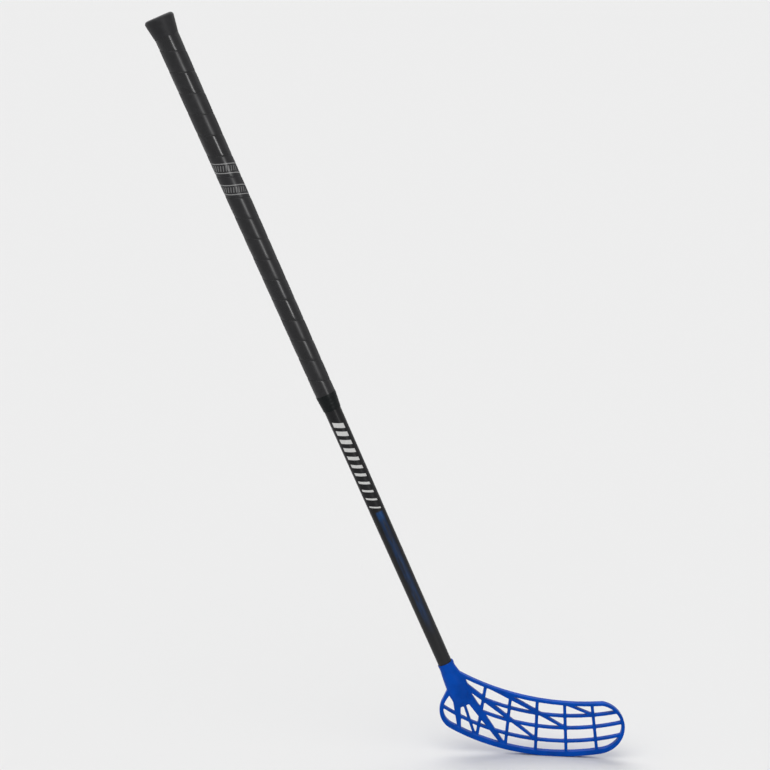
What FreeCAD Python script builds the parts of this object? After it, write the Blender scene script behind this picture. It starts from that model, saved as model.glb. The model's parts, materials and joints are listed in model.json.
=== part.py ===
"""Floorball stick, standing as it is played: blade on the floor, shaft leaning back from the toe.

Frame: millimetres, +Z up, +X towards the toe, +Y away from the hitting face of the blade.
The origin is on the shaft axis, where the lower hand holds the grip.
"Station" means the distance from the butt end, measured down the shaft axis.
The blade has its own axes: x from the point where the shaft axis meets the floor, z from the floor.
"""
import FreeCAD, Part
import math
import os
import re

import Sketcher
from FreeCAD import Placement, Rotation, Vector

SIZES = {
    # Stance of the stick and the point where it is held
    "lie_angle": 66.9,
    "hold_point": 289.0,
    # Shaft, a tapered tube
    "shaft_length": 1000.0,
    "shaft_top_diameter": 28.3,
    "shaft_tip_diameter": 19.0,
    "shaft_wall": 1.6,
    # Knob that plugs the butt end
    "knob_cap": 3.0,
    "knob_length": 27.0,
    "knob_diameter": 40.2,
    "knob_rim": 4.5,
    "knob_waist": 32.8,
    "spigot_length": 32.0,
    "spigot_wall": 2.0,
    # Grip, one ribbon wound down the shaft, and the band that binds its lower end
    "grip_end": 547.0,
    "grip_thickness": 1.9,
    "grip_pitch": 29.7,
    "grip_seam": 0.7,
    "tape_length": 20.0,
    "tape_edge": 0.6,
    # Fits between pieces
    "glue_gap": 0.1,
    "butt_gap": 0.3,
    "screw_gap": 0.1,
    # Socket of the blade and the palm below it
    "socket_depth": 44.4,
    "socket_floor": 3.0,
    "hosel_reach": 145.6,
    "hosel_wall": 1.5,
    "hosel_shift": 0.5,
    "collar_length": 9.0,
    "palm_length": 69.0,
    "palm_flare": 4.2,
    "palm_shift": 2.0,
    "palm_foot_width": 25.0,
    # Flat web of the palm, from which the fingers spread
    "web_crown_x": -30.0,
    "web_toe_x": -20.0,
    "web_toe_z": 90.0,
    "web_foot_x": -28.0,
    "web_foot_z": 72.0,
    "web_heel_x": -46.2,
    "web_heel_z": 78.0,
    # Outline of the blade
    "blade_height": 79.6,
    "blade_reach": 190.8,
    "rocker_radius": 280.0,
    "rocker_x": 93.0,
    "crown_radius": 309.0,
    "crown_x": 117.0,
    "toe_top_setback": 30.3,
    "toe_foot_setback": 33.8,
    "toe_mid_z": 49.0,
    "heel_foot_x": -48.7,
    "heel_x": -64.2,
    "heel_mid_z": 65.0,
    "heel_shoulder_x": -60.2,
    "heel_shoulder_z": 80.5,
    "heel_root_x": -52.4,
    "heel_root_z": 97.0,
    "crown_root_x": -40.7,
    # Bars of the frame and their depth
    "sole_bar": 7.0,
    "crown_bar": 4.4,
    "toe_bar": 4.4,
    "heel_bar": 5.6,
    "heel_root_bar": 8.5,
    "frame_depth": 10.0,
    # Hook: the blade bends towards the hitting face
    "hook_radius": 900.0,
    "hook_x": -20.0,
    # Rungs, uprights, diagonals and fingers inside the frame
    "rib_depth": 8.0,
    "rung_width": 3.6,
    "rung_radius": 272.0,
    "rung_x": 96.0,
    "rung_low": 21.8,
    "rung_mid": 41.2,
    "rung_high": 59.1,
    "rung_lean": 3.7,
    "upright_width": 4.2,
    "upright_first_x": -9.0,
    "upright_pitch": 39.7,
    "upright_level": 45.0,
    "fan_x": 82.0,
    "fan_height": 580.0,
    "brace_width": 3.2,
    "brace_root_width": 7.0,
    "brace_root_x": -30.3,
    "brace_root_z": 102.2,
    "finger_root_width": 13.0,
    "finger_tip_width": 5.0,
    "thin_finger_width": 3.8,
    "finger_root_x": -42.0,
    "finger_spread": 4.5,
    "finger_tip_x": -36.2,
    "thin_finger_tip_x": -14.2,
    # Screws through the back of the socket
    "screw_first_drop": 11.0,
    "screw_pitch": 18.0,
    "screw_diameter": 2.9,
    "screw_length": 6.5,
    "screw_head_diameter": 5.6,
    "screw_head_height": 1.7,
    "screw_head_edge": 0.4,
    "screw_seat_floor": 0.8,
    "recess_width": 0.9,
    "recess_length": 3.2,
    "recess_depth": 1.0,
}

RUNG_LEVELS = ("rung_low", "rung_mid", "rung_high")
UPRIGHT_COUNT = 5
SCREW_NAMES = ("upper_blade_screw", "lower_blade_screw")
FINGER_COUNT = 3
# Sections through the hosel, where it widens, and through the palm, where it thins out to the fingers
HOSEL_STEPS = 5
PALM_STEPS = 4

# Points closer than this are the same point
TOUCH = 1e-6
FULL_TURN = 2 * math.pi
# The ribbon's gap to itself is measured every two degrees, and a few steps to either side
GAP_STEP = math.radians(2)
GAP_REACH = 6

doc = FreeCAD.newDocument("floorball_stick")
sheet = doc.addObject("Spreadsheet::Sheet", "dims")
for row, (alias, size) in enumerate(SIZES.items(), start=1):
    sheet.set(f"A{row}", alias)
    sheet.set(f"B{row}", str(size))
    sheet.setAlias(f"B{row}", alias)
doc.recompute()


def bound(formula):
    """Return the formula with every size written as its cell in the sheet."""
    return re.sub(r"[a-z_]+", lambda word: f"dims.{word[0]}" if word[0] in SIZES else word[0], formula)


def value(formula):
    """Return the present value of a formula of sizes."""
    return float(sheet.evalExpression(bound(formula)))


# Formulas that several pieces share
CAP_STATION = "knob_cap"
TIP_STATION = "(knob_cap + shaft_length)"
MOUTH_STATION = "(knob_cap + shaft_length - socket_depth)"
FLOOR_STATION = "(knob_cap + shaft_length - socket_depth + hosel_reach)"
GRIP_START = "(knob_length + butt_gap)"
HOSEL_RADIUS = "(shaft_tip_diameter / 2 + glue_gap + hosel_wall)"
TOE_TOP_X = "(blade_reach - toe_top_setback)"
TOE_FOOT_X = "(blade_reach - toe_foot_setback)"
BLADE_DRAW = "((blade_reach - hook_x) ^ 2 / hook_radius + 2 * frame_depth)"
SHAFT_TAPER = "((shaft_top_diameter - shaft_tip_diameter) / 2 / shaft_length)"


def height(station):
    """Return the height of a station above the origin, along the shaft axis."""
    return f"(hold_point - ({station}))"


def shaft_radius(station):
    """Return the outer radius of the tapered shaft at a station."""
    return f"(shaft_top_diameter / 2 - {SHAFT_TAPER} * ({station} - knob_cap))"


# Distance of the screws' seats from the shaft axis
SCREW_SEAT = f"({shaft_radius(MOUTH_STATION)} + glue_gap + screw_seat_floor)"


def dome_height(x, radius, top):
    """Return the height at x of an arc that is open downwards, with its highest point on the axis."""
    return f"({top} - {radius} + sqrt(({radius}) ^ 2 - ({x}) ^ 2))"


def bowl_height(x, radius, middle, low, offset="0"):
    """Return the height at x of an arc that is open upwards, with its lowest point at (middle, low).

    With an offset, the arc is the one about the same centre that lies this far above it.
    """
    return f"({low} + {radius} - sqrt(({radius} - ({offset})) ^ 2 - ({x} - {middle}) ^ 2))"


def on_shaft(thing):
    """Turn a piece that was drawn along +Z so that it lies along the shaft axis."""
    thing.Placement = Placement(Vector(), Rotation(Vector(0, -1, 0), 90 - value("lie_angle")))
    thing.setExpression("Placement.Rotation.Angle", bound("90 - lie_angle"))


def move_to(thing, x, y, z):
    """Bind the place of a piece to three formulas."""
    thing.setExpression("Placement.Base.x", bound(x))
    thing.setExpression("Placement.Base.y", bound(y))
    thing.setExpression("Placement.Base.z", bound(z))


def shaft_point(station, across="0"):
    """Return the x and z formulas of a point beside the shaft axis, `across` towards the toe."""
    x = f"({across}) * sin(lie_angle * 1 deg) - {height(station)} * cos(lie_angle * 1 deg)"
    z = f"({across}) * cos(lie_angle * 1 deg) + {height(station)} * sin(lie_angle * 1 deg)"
    return x, z


def to_blade(thing, x="0", y="0", z="0"):
    """Bind the place of a piece to a point given in the blade's own axes."""
    floor_x, floor_z = shaft_point(FLOOR_STATION)
    move_to(thing, f"{floor_x} + ({x})", y, f"{floor_z} + ({z})")


def new_body(label):
    """Start a body whose sketches lie on its own origin planes."""
    body = doc.addObject("PartDesign::Body", label)
    body.Label = label
    return body


def new_sketch(body, name, role="XZ_Plane"):
    """Add a sketch on one of the body's origin planes."""
    sketch = body.newObject("Sketcher::SketchObject", name)
    plane = next(item for item in body.Origin.OriginFeatures if item.Role == role)
    sketch.AttachmentSupport = [(plane, "")]
    sketch.MapMode = "FlatFace"
    return sketch


def hold_point_at(sketch, geometry, end, x, y):
    """Bind one point of a sketch to two formulas."""
    for kind, formula in (("DistanceX", x), ("DistanceY", y)):
        index = sketch.addConstraint(Sketcher.Constraint(kind, geometry, end, value(formula)))
        sketch.setExpression(f"Constraints[{index}]", bound(formula))


def draw_loop(sketch, points):
    """Draw a closed loop through points, each (x, y), or (x, y, "via") in the middle of an arc."""
    places = [Vector(value(point[0]), value(point[1]), 0) for point in points]
    corners = [index for index, point in enumerate(points) if len(point) == 2]
    edges = []
    for first, second in zip(corners, corners[1:] + corners[:1]):
        via = (first + 1) % len(points)
        if via == second:
            edge = sketch.addGeometry(Part.LineSegment(places[first], places[second]))
        else:
            edge = sketch.addGeometry(Part.Arc(places[first], places[via], places[second]))
            mark = sketch.addGeometry(Part.Point(places[via]), True)
            hold_point_at(sketch, mark, 1, *points[via][:2])
            sketch.addConstraint(Sketcher.Constraint("PointOnObject", mark, 1, edge))
        forward = sketch.getPoint(edge, 1).isEqual(places[first], TOUCH)
        edges.append((edge, 1 if forward else 2, 2 if forward else 1))
    for (edge, start, end), (following, following_start, following_end) in zip(edges, edges[1:] + edges[:1]):
        sketch.addConstraint(Sketcher.Constraint("Coincident", edge, end, following, following_start))
    for (edge, start, end), corner in zip(edges, corners):
        hold_point_at(sketch, edge, start, *points[corner])


def draw_circle(sketch, x, y, radius):
    """Draw a circle whose centre and radius are formulas."""
    centre = Vector(value(x), value(y), 0)
    circle = sketch.addGeometry(Part.Circle(centre, Vector(0, 0, 1), value(radius)))
    index = sketch.addConstraint(Sketcher.Constraint("Radius", circle, value(radius)))
    sketch.setExpression(f"Constraints[{index}]", bound(radius))
    hold_point_at(sketch, circle, 3, x, y)


def revolve(body, points):
    """Revolve a profile, given as (radius, height) points, about the body's Z axis."""
    profile = new_sketch(body, f"{body.Label}_profile")
    draw_loop(profile, points)
    turned = body.newObject("PartDesign::Revolution", f"{body.Label}_turned")
    turned.Profile = profile
    turned.ReferenceAxis = (profile, ["V_Axis"])
    turned.Angle = 360.0
    doc.recompute()


def pad_loops(body, name, loops):
    """Pad closed loops, drawn in the blade's own x and z, through the whole depth of the hook."""
    sketch = new_sketch(body, f"{name}_sketch")
    for points in loops:
        draw_loop(sketch, points)
    pad = body.newObject("PartDesign::Pad", name)
    pad.Profile = sketch
    pad.Midplane = True
    pad.setExpression("Length", bound(BLADE_DRAW))
    doc.recompute()


def combine(kind, name, base, tool):
    """Join two solids by a boolean of the given kind."""
    result = doc.addObject(kind, name)
    result.Base = base
    result.Tool = tool
    return result


def cylinder(name, radius, length):
    """Add a cylinder along +Z from formulas."""
    solid = doc.addObject("Part::Cylinder", name)
    solid.setExpression("Radius", bound(radius))
    solid.setExpression("Height", bound(length))
    return solid


def screw_station(index):
    """Return the station of one blade screw."""
    return f"({MOUTH_STATION} + screw_first_drop + {index} * screw_pitch)"


def make_shaft():
    """Tapered tube, drilled at the back of its tip for the blade screws."""
    body = new_body("shaft_tube")
    top, tip = height(CAP_STATION), height(TIP_STATION)
    top_radius, tip_radius = "shaft_top_diameter / 2", "shaft_tip_diameter / 2"
    revolve(body, [
        (f"{top_radius} - shaft_wall", top),
        (top_radius, top),
        (tip_radius, tip),
        (f"{tip_radius} - shaft_wall", tip),
    ])
    drill = new_sketch(body, "screw_drill_sketch")
    for index in range(len(SCREW_NAMES)):
        draw_circle(drill, "0", height(screw_station(index)), "screw_diameter / 2 + screw_gap")
    holes = body.newObject("PartDesign::Pocket", "screw_drill")
    holes.Profile = drill
    holes.Reversed = False
    holes.setExpression("Length", bound("shaft_top_diameter / 2"))
    on_shaft(body)
    return body


def make_knob():
    """Flared knob: a rim round the butt, a skirt outside the tube and a hollow spigot inside it."""
    body = new_body("end_knob")
    top, rim = height("0"), height("knob_rim")
    seat, foot = height(CAP_STATION), height("knob_length")
    spigot_station = "(knob_cap + spigot_length)"
    spigot = f"{shaft_radius(spigot_station)} - shaft_wall - glue_gap"
    spigot_end = height(spigot_station)
    rim_reach = "knob_rim * (1 - sqrt(0.5))"
    revolve(body, [
        ("0", top),
        ("knob_diameter / 2 - knob_rim", top),
        (f"knob_diameter / 2 - {rim_reach}", f"{top} - {rim_reach}", "via"),
        ("knob_diameter / 2", rim),
        ("knob_waist / 2", foot),
        (f"{shaft_radius('knob_length')} + glue_gap", foot),
        (f"{shaft_radius(CAP_STATION)} + glue_gap", seat),
        (spigot, seat),
        (spigot, spigot_end),
        (f"{spigot} - spigot_wall", spigot_end),
        (f"{spigot} - spigot_wall", seat),
        ("0", seat),
    ])
    on_shaft(body)
    return body


def arc_end(start, tangent, end):
    """Return the middle point of the arc that leaves start along tangent, and its tangent at the end."""
    chord = end - start
    inward = chord - tangent * chord.dot(tangent)
    inward.normalize()
    radius = chord.dot(chord) / (2 * chord.dot(inward))
    turn = math.atan2(chord.dot(tangent), radius - chord.dot(inward))
    middle = start + inward * (radius * (1 - math.cos(turn / 2))) + tangent * (radius * math.sin(turn / 2))
    return middle, tangent * math.cos(turn) + inward * math.sin(turn)


def biarc(start, start_tangent, end, end_tangent):
    """Return two tangent arcs that join two points with given tangents."""
    chord = end - start
    bend = 2 * (1 - start_tangent.dot(end_tangent))
    lean = 2 * chord.dot(start_tangent + end_tangent)
    reach = (math.sqrt(lean * lean + 4 * bend * chord.dot(chord)) - lean) / (2 * bend)
    joint = (start + end + (start_tangent - end_tangent) * reach) * 0.5
    first_middle, joint_tangent = arc_end(start, start_tangent, joint)
    second_middle, _ = arc_end(joint, joint_tangent, end)
    return [
        Part.Arc(start, first_middle, joint).toShape(),
        Part.Arc(joint, second_middle, end).toShape(),
    ]


class Winding:
    """Line along the middle of the grip ribbon, a left-handed helix that follows the shaft's taper."""

    def __init__(self):
        self.top = value(height(GRIP_START))
        self.end = value(height("grip_end"))
        self.pitch = value("grip_pitch")
        self.half_width = value("(grip_pitch - grip_seam) / 2")
        self.taper = value(SHAFT_TAPER)
        self.radius = value(f"{shaft_radius('hold_point')} + glue_gap + grip_thickness / 2")
        self.loops = (self.top - self.end) / self.pitch
        self.quarters = math.ceil(4 * (self.loops + 1))

    def point(self, angle, rise=0.0):
        """Return the point at a winding angle, raised along the shaft by `rise`."""
        level = self.top + self.half_width + rise - self.pitch * angle / FULL_TURN
        radius = self.radius + self.taper * level
        return Vector(radius * math.cos(angle), radius * math.sin(angle), level)

    def heading(self, angle):
        """Return the direction of the line at a winding angle."""
        sink = self.pitch / FULL_TURN
        place = self.point(angle)
        inward = Vector(math.cos(angle), math.sin(angle), 0) * (self.taper * sink)
        return (Vector(-place.y, place.x, -sink) - inward).normalize()

    def path(self):
        """Return the line as a wire of biarcs, one for each quarter turn."""
        turns = [index * FULL_TURN / 4 for index in range(self.quarters + 1)]
        edges = []
        for start, end in zip(turns, turns[1:]):
            edges += biarc(self.point(start), self.heading(start), self.point(end), self.heading(end))
        return Part.Wire(edges)

    def least_gap(self):
        """Return the least distance from the ribbon's lower edge to the next loop's upper edge."""
        steps = [index * GAP_STEP for index in range(int((self.loops - 1) * FULL_TURN / GAP_STEP))]
        nearby = [index * GAP_STEP for index in range(-GAP_REACH, GAP_REACH + 1)]
        return min(
            self.point(step, -self.half_width).distanceToPoint(
                self.point(step + FULL_TURN + shift, self.half_width))
            for step in steps
            for shift in nearby
        )


def make_grip():
    """Grip ribbon: one unbroken winding, cut square at both ends."""
    winding = Winding()
    half_thickness = value("grip_thickness / 2")
    corners = []
    for out, along in ((-1, -1), (1, -1), (1, 1), (-1, 1)):
        rise = along * winding.half_width
        corners.append(winding.point(0, rise) + Vector(out * half_thickness, 0, 0))
    shell = Part.BRepOffsetAPI.MakePipeShell(winding.path())
    shell.setBiNormalMode(Vector(0, 0, 1))
    shell.add(Part.makePolygon(corners + corners[:1]), False, False)
    shell.build()
    shell.makeSolid()
    keep = Part.makeCylinder(value("knob_diameter"), winding.top - winding.end, Vector(0, 0, winding.end))
    grip = doc.addObject("Part::Feature", "grip_wrap")
    grip.Shape = shell.shape().common(keep).Solids[0]
    on_shaft(grip)
    print(f"grip ribbon: {winding.loops:.1f} loops, least gap to itself {winding.least_gap():.2f} mm")
    return grip


def make_tape():
    """Finishing band that closes the lower end of the grip and tapers down to the shaft."""
    body = new_body("finishing_tape")
    start, end = "(grip_end + butt_gap)", "(grip_end + butt_gap + tape_length)"
    middle = "(grip_end + butt_gap + tape_length / 2)"
    upper_radius = f"{shaft_radius(start)} + glue_gap + grip_thickness"
    lower_radius = f"{shaft_radius(end)} + glue_gap + tape_edge"
    middle_radius = f"({upper_radius} + {lower_radius}) / 2 + tape_edge / 2"
    revolve(body, [
        (f"{shaft_radius(start)} + glue_gap", height(start)),
        (upper_radius, height(start)),
        (middle_radius, height(middle), "via"),
        (lower_radius, height(end)),
        (f"{shaft_radius(end)} + glue_gap", height(end)),
    ])
    on_shaft(body)
    return body


def hook_slab(name, depth):
    """Curved slab that bends the blade towards its hitting face."""
    outer = cylinder(f"{name}_outer", f"hook_radius + {depth} / 2", "hosel_reach + 2 * sole_bar")
    inner = cylinder(f"{name}_inner", f"hook_radius - {depth} / 2", "hosel_reach + 2 * sole_bar")
    for solid in (outer, inner):
        to_blade(solid, "hook_x", "-hook_radius", "-sole_bar")
    return combine("Part::Cut", name, outer, inner)


def crown(x, bar="0"):
    """Return the height of the top edge at x, or of the underside of its bar."""
    return bowl_height(x, "crown_radius", "crown_x", "blade_height", f"-({bar})")


def sole(x, bar="0"):
    """Return the height of the bottom edge at x, or of the top of its bar."""
    return bowl_height(x, "rocker_radius", "rocker_x", "0", bar)


def toe_arc(corner, reach, rising):
    """Return the middle of the arc from a corner to the toe, where the arc stands upright."""
    run, rise = f"({reach} - {corner[0]})", f"(toe_mid_z - {corner[1]})"
    radius = f"(({run} ^ 2 + {rise} ^ 2) / 2 / {run})"
    return f"{reach} - {radius} * (1 - sqrt(0.5))", f"toe_mid_z + {rising} * {radius} * sqrt(0.5)", "via"


def frame_loop(inset):
    """Outline of the blade, or of the window inside its bars when inset is 1."""
    crown_bar, sole_bar = f"{inset} * crown_bar", f"{inset} * sole_bar"
    toe_bar, heel_bar = f"{inset} * toe_bar", f"{inset} * heel_bar"
    crown_root = f"(crown_root_x + {heel_bar})"
    heel_foot = f"(heel_foot_x + {heel_bar})"
    toe = f"(blade_reach - {toe_bar})"
    toe_top = (TOE_TOP_X, crown(TOE_TOP_X, crown_bar))
    toe_foot = (TOE_FOOT_X, sole(TOE_FOOT_X, sole_bar))
    return [
        (crown_root, crown(crown_root, crown_bar)),
        ("crown_x", crown("crown_x", crown_bar), "via"),
        toe_top,
        toe_arc(toe_top, toe, 1),
        (toe, "toe_mid_z"),
        toe_arc(toe_foot, toe, -1),
        toe_foot,
        ("rocker_x", sole("rocker_x", sole_bar), "via"),
        (heel_foot, sole(heel_foot, sole_bar)),
        (f"heel_x + {heel_bar}", "heel_mid_z", "via"),
        (f"heel_shoulder_x + {heel_bar}", "heel_shoulder_z"),
        (f"heel_root_x + {inset} * heel_root_bar", "heel_root_z"),
    ]


def upright_x(index, level):
    """Return x of an upright's centre line at a level; the uprights fan out from far above."""
    middle = f"(upright_first_x + {index} * upright_pitch)"
    return f"({middle} - ({middle} - fan_x) / fan_height * ({level} - upright_level))"


def rung_z(index, x):
    """Return the height of a rung's centre line at x."""
    return bowl_height(x, "rung_radius", f"(rung_x + {index} * rung_lean)", RUNG_LEVELS[index])


def rung_loop(index, left):
    """Band along one rung, from x = left out past the toe bar."""
    middle, low = f"(rung_x + {index} * rung_lean)", RUNG_LEVELS[index]
    right = "(blade_reach - toe_bar / 4)"

    def edge(x, side):
        return bowl_height(x, "rung_radius", middle, low, f"{side} * rung_width / 2")

    return [
        (left, edge(left, -1)),
        (middle, edge(middle, -1), "via"),
        (right, edge(right, -1)),
        (right, edge(right, 1)),
        (middle, edge(middle, 1), "via"),
        (left, edge(left, 1)),
    ]


def strut(start, end, start_width, end_width):
    """Straight bar between two points, cut square at its ends."""
    run, rise = f"({end[0]} - ({start[0]}))", f"({end[1]} - ({start[1]}))"
    length = f"sqrt({run} ^ 2 + {rise} ^ 2)"

    def corner(point, width, side):
        x = f"{point[0]} + {side} * {rise} / {length} * {width} / 2"
        z = f"{point[1]} - {side} * {run} / {length} * {width} / 2"
        return x, z

    return [
        corner(start, start_width, -1),
        corner(start, start_width, 1),
        corner(end, end_width, 1),
        corner(end, end_width, -1),
    ]


def upright_loop(index):
    """Bar along one upright, from below the sole to above the crown."""
    foot, head = "-sole_bar", "hosel_reach"
    lower, upper = (upright_x(index, foot), foot), (upright_x(index, head), head)
    return strut(lower, upper, "upright_width", "upright_width")


def crossing(upright, rung):
    """Return the point where an upright meets a rung."""
    x = upright_x(upright, RUNG_LEVELS[rung])
    return x, rung_z(rung, x)


def on_crown(x):
    """Return the point of the top edge at x."""
    return x, crown(x)


def below_crown(x):
    """Return the middle of the crown bar at x."""
    return x, crown(x, "crown_bar / 2")


def above_sole(x):
    """Return the middle of the sole bar at x."""
    return x, sole(x, "sole_bar / 2")


def web_loop():
    """Outline of the palm's web, between the heel, the crown and the roots of the fingers."""
    return [
        ("heel_root_x", "heel_root_z"),
        below_crown("crown_root_x"),
        below_crown("web_crown_x"),
        ("web_toe_x", "web_toe_z"),
        ("web_foot_x", "web_foot_z"),
        ("web_heel_x", "web_heel_z"),
    ]


def make_ribs():
    """Grid inside the frame: rungs, uprights, diagonal braces and the fingers of the palm."""
    body = new_body("blade_ribs")
    starts = ["(heel_x + heel_bar / 4)"]
    starts += [upright_x(0, rung_z(index, "upright_first_x")) for index in (1, 2)]
    pad_loops(body, "rungs", [rung_loop(index, start) for index, start in enumerate(starts)])
    pad_loops(body, "uprights", [upright_loop(index) for index in range(UPRIGHT_COUNT)])
    pad_loops(body, "braces", [
        strut(("brace_root_x", "brace_root_z"), crossing(2, 0), "brace_root_width", "brace_width"),
        strut(on_crown(upright_x(0, "heel_root_z")), crossing(3, 1), "brace_root_width", "brace_width"),
        strut(below_crown(upright_x(3, "blade_height")), crossing(4, 2), "brace_width", "brace_width"),
    ])
    roots = [(f"(finger_root_x + {index} * finger_spread)", "heel_root_z") for index in range(FINGER_COUNT)]
    pad_loops(body, "fingers", [
        strut(roots[0], above_sole("finger_tip_x"), "finger_root_width", "finger_tip_width"),
        strut(roots[1], above_sole("thin_finger_tip_x"), "thin_finger_width", "thin_finger_width"),
        strut(roots[2], above_sole(upright_x(1, "0")), "finger_root_width", "finger_tip_width"),
    ])
    to_blade(body)
    return body


def palm_section(name, drop, half_width, half_depth, shift):
    """Oval section of the hosel and palm, a given drop below the mouth of the socket."""
    oval = doc.addObject("Part::Ellipse", name)
    oval.setExpression("MajorRadius", bound(half_width))
    oval.setExpression("MinorRadius", bound(half_depth))
    on_shaft(oval)
    x, z = shaft_point(f"{MOUTH_STATION} + {drop}", shift)
    move_to(oval, x, "0", z)
    return oval


def make_hosel():
    """Hosel round the shaft tip, flattening into the palm that carries the fingers."""
    floor_drop = "(socket_depth + socket_floor)"
    palm_half_width = f"{HOSEL_RADIUS} + palm_flare"
    sections = [
        palm_section("hosel_mouth", "0", HOSEL_RADIUS, HOSEL_RADIUS, "hosel_shift"),
        palm_section("hosel_collar", "collar_length / 2", HOSEL_RADIUS, HOSEL_RADIUS, "hosel_shift"),
    ]
    for step in range(HOSEL_STEPS + 1):
        share = f"({step} / {HOSEL_STEPS})"
        swell = f"sin({share} * 90 deg)"
        drop = f"(collar_length + ({floor_drop} - collar_length) * {share})"
        half_width = f"{HOSEL_RADIUS} + palm_flare * {swell}"
        shift = f"(hosel_shift + (palm_shift - hosel_shift) * {swell})"
        sections.append(palm_section(f"hosel_swell_{step}", drop, half_width, HOSEL_RADIUS, shift))
    for step in range(1, PALM_STEPS + 1):
        share = f"({step} / {PALM_STEPS})"
        ease = f"((1 - {share}) / 2 + (1 + cos({share} * 180 deg)) / 4)"
        drop = f"({floor_drop} + (palm_length - {floor_drop}) * {share})"
        half_width = f"({palm_half_width}) * (1 - {share}) + palm_foot_width / 2 * {share}"
        half_depth = f"rib_depth / 2 + ({HOSEL_RADIUS} - rib_depth / 2) * {ease}"
        sections.append(palm_section(f"palm_fall_{step}", drop, half_width, half_depth, "palm_shift"))
    hosel = doc.addObject("Part::Loft", "hosel")
    hosel.Sections = sections
    hosel.Solid = True
    hosel.Ruled = False
    hosel.MaxDegree = 3
    return hosel


def make_socket():
    """Tapered bore for the shaft tip."""
    socket = doc.addObject("Part::Cone", "socket")
    socket.setExpression("Radius1", bound(f"{shaft_radius(TIP_STATION)} + glue_gap"))
    socket.setExpression("Radius2", bound(f"{shaft_radius(MOUTH_STATION)} + glue_gap"))
    socket.setExpression("Height", bound("socket_depth"))
    on_shaft(socket)
    x, z = shaft_point(TIP_STATION)
    move_to(socket, x, "0", z)
    return socket


def facing_back(thing, index, y):
    """Point a piece along +Y at the station of one blade screw."""
    thing.Placement = Placement(Vector(), Rotation(Vector(-1, 0, 0), 90))
    x, z = shaft_point(screw_station(index))
    move_to(thing, x, y, z)


def make_blade():
    """Blade, one moulding: frame, grid, palm and hosel, with the socket and the screw seats cut in it."""
    outline, window, web = new_body("blade_outline"), new_body("blade_window"), new_body("blade_web")
    pad_loops(outline, "outline", [frame_loop(0)])
    pad_loops(window, "window", [frame_loop(1)])
    pad_loops(web, "web", [web_loop()])
    for body in (outline, window, web):
        to_blade(body)
    bars = combine("Part::Cut", "frame_bars", outline, window)
    plate = combine("Part::Fuse", "frame_plate", bars, web)
    frame = combine("Part::Common", "frame", plate, hook_slab("frame_slab", "frame_depth"))
    core = combine("Part::Common", "core", outline, hook_slab("rib_slab", "rib_depth"))
    grid = combine("Part::Common", "grid", make_ribs(), core)
    moulding = doc.addObject("Part::MultiFuse", "moulding")
    moulding.Shapes = [frame, grid, make_hosel()]
    blade = combine("Part::Cut", "blade_bored", moulding, make_socket())
    for index in range(len(SCREW_NAMES)):
        hole = cylinder(f"screw_hole_{index}", "screw_diameter / 2 + screw_gap", f"{HOSEL_RADIUS} * 2")
        facing_back(hole, index, "0")
        seat = cylinder(f"screw_seat_{index}", "screw_head_diameter / 2 + screw_gap", f"{HOSEL_RADIUS}")
        facing_back(seat, index, SCREW_SEAT)
        blade = combine("Part::Cut", f"blade_drilled_{index}", blade, hole)
        blade = combine("Part::Cut", f"blade_seated_{index}", blade, seat)
    blade.Label = "blade"
    return blade


def make_screw(index):
    """Self-tapping screw with a domed head and a cross recess."""
    body = new_body(SCREW_NAMES[index])
    shank, head = "screw_diameter / 2", "screw_head_diameter / 2"
    rise = "(screw_head_height - screw_head_edge)"
    dome_radius = f"((({head}) ^ 2 + {rise} ^ 2) / 2 / {rise})"
    dome = (f"{head} / 2", dome_height(f"{head} / 2", dome_radius, "screw_head_height"), "via")
    revolve(body, [
        ("0", "screw_head_height"),
        dome,
        (head, "screw_head_edge"),
        (head, "0"),
        (shank, "0"),
        (shank, "screw_diameter - screw_length"),
        ("0", "-screw_length"),
    ])
    recess = new_sketch(body, f"recess_sketch_{index}", "XY_Plane")
    arm, half = "recess_length / 2", "recess_width / 2"
    quadrants = ((1, 1), (-1, 1), (-1, -1), (1, -1))
    cross = []
    for turn, (x, y) in enumerate(quadrants):
        long_x, long_y = (f"{x} * {arm}", f"{y} * {half}"), (f"{x} * {half}", f"{y} * {arm}")
        corner = (f"{x} * {half}", f"{y} * {half}")
        cross += [long_x, corner, long_y] if turn % 2 == 0 else [long_y, corner, long_x]
    draw_loop(recess, cross)
    recess.AttachmentOffset = Placement(Vector(0, 0, value("screw_head_height")), Rotation())
    recess.setExpression("AttachmentOffset.Base.z", bound("screw_head_height"))
    pocket = body.newObject("PartDesign::Pocket", f"recess_{index}")
    pocket.Profile = recess
    pocket.setExpression("Length", bound("recess_depth"))
    facing_back(body, index, SCREW_SEAT)
    return body


parts = [make_shaft(), make_knob(), make_grip(), make_tape(), make_blade()]
parts += [make_screw(index) for index in range(len(SCREW_NAMES))]
doc.recompute()

for thing in doc.Objects:
    if "Invalid" in thing.State or "Error" in thing.State:
        raise RuntimeError(f"{thing.Label} failed: {thing.State}")
for part in parts:
    if part.Shape.isNull() or not part.Shape.isValid():
        raise RuntimeError(f"{part.Label} has no valid shape")

os.makedirs("parts", exist_ok=True)
for part in parts:
    part.Shape.exportStep(f"parts/{part.Label}.step")
    print(f"{part.Label}: {len(part.Shape.Solids)} solid, {part.Shape.Volume / 1000:.2f} cm3")
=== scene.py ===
"""Looks of a floorball stick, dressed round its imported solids.

Everything is in metres, in the frame of the solids: +Z up, +X towards the toe of the blade and +Y
away from its hitting face. A station is a distance from the butt end, measured down the shaft.
"""

import json
import logging
import math
from dataclasses import dataclass
from enum import Enum
from typing import Any, Callable, Mapping, Optional, Sequence, Union

import bmesh
import bpy
from mathutils import Matrix, Vector, noise


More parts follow.
